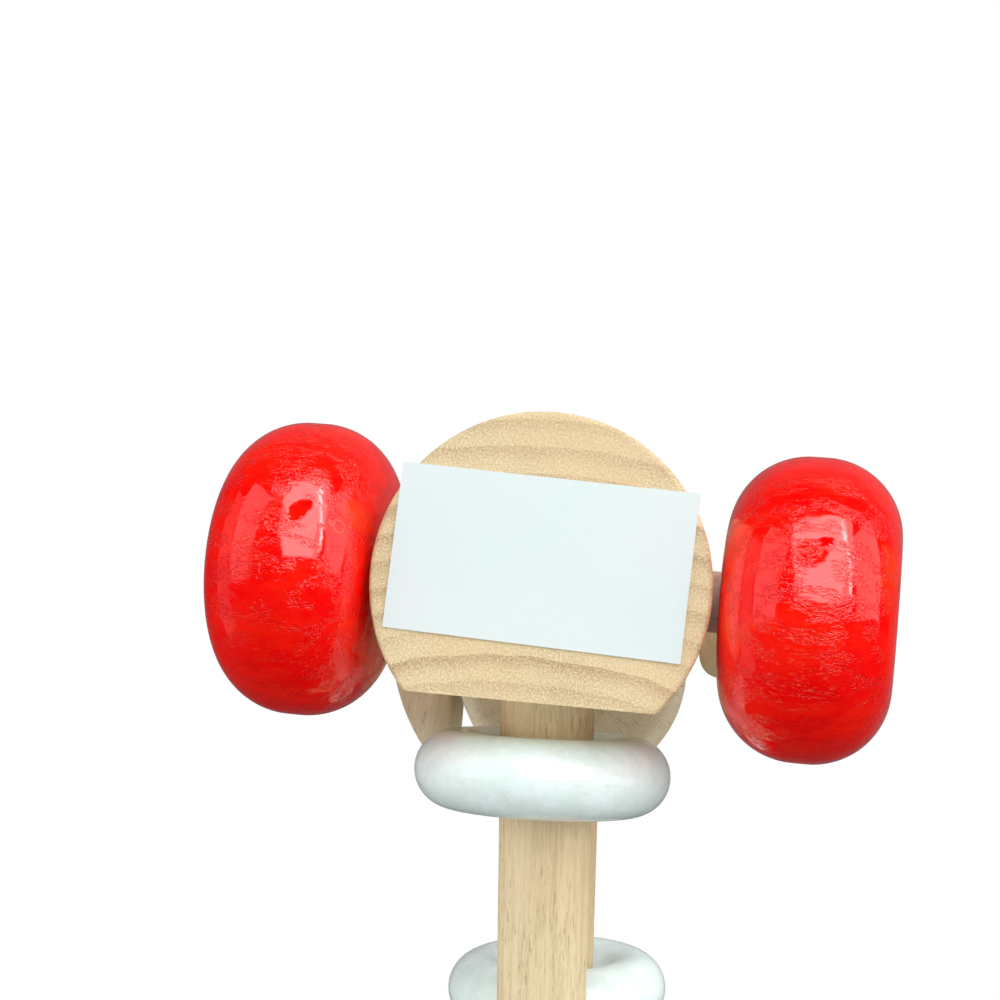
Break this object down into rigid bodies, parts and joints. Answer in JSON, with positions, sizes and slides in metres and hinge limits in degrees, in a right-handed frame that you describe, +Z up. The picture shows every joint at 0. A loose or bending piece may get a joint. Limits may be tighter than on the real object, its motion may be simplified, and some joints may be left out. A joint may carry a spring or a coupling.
{
  "type": "wooden push toy",
  "caption": "Wooden push toy on round wheels with a long handle, a round body with swinging flaps, and loose rattling rings.",
  "frame": {"origin": "centre of the footprint on the floor, with the toy lying on its wheels and its grip knob", "axes": "+X along the axle, +Y forward, from the grip knob to the wheels, +Z up"},
  "size_m": [0.089, 0.5408, 0.0717],
  "materials": {
    "beech": "smooth sanded beech, unvarnished",
    "red_lacquer": "glossy red lacquer on wood",
    "white_lacquer": "glossy cool white lacquer on wood",
    "label_paper": "blank white paper label"
  },
  "bodies": {
    "toy_frame": {"base_block": "beech", "blank_label": "label_paper", "handle": "beech", "ring_stop": "beech", "grip_knob": "red_lacquer", "round_body": "beech", "neck_pin": "beech", "spindle": "beech", "spindle_bead": "red_lacquer", "cross_pin": "beech", "pin_cap_left": "red_lacquer", "pin_cap_right": "red_lacquer"},
    "wheelset": {"axle": "beech", "wheel_left": "red_lacquer", "wheel_right": "red_lacquer"},
    "lower_ring": {"ring_lower": "white_lacquer"},
    "upper_ring": {"ring_upper": "white_lacquer"},
    "left_flap": {"flap_left": "beech"},
    "right_flap": {"flap_right": "beech"}
  },
  "joints": [
    {"name": "wheelset_spin", "type": "hinge", "parent": "toy_frame", "child": "wheelset", "pos_m": [0, 0.2454, 0.0197], "axis": [1, 0, 0], "continuous": true},
    {"name": "lower_ring_slide", "type": "slide", "parent": "toy_frame", "child": "lower_ring", "axis": [0, -1, 0], "range_m": [-0.001, 0.036]},
    {"name": "upper_ring_slide", "type": "slide", "parent": "toy_frame", "child": "upper_ring", "axis": [0, -1, 0], "range_m": [-0.022, 0.015]},
    {"name": "left_flap_swing", "type": "hinge", "parent": "toy_frame", "child": "left_flap", "pos_m": [0, 0.23026, 0.04917], "axis": [1, 0, 0], "range_deg": [-108, 120]},
    {"name": "right_flap_swing", "type": "hinge", "parent": "toy_frame", "child": "right_flap", "pos_m": [0, 0.23026, 0.04917], "axis": [1, 0, 0], "range_deg": [-198, 30]}
  ]
}
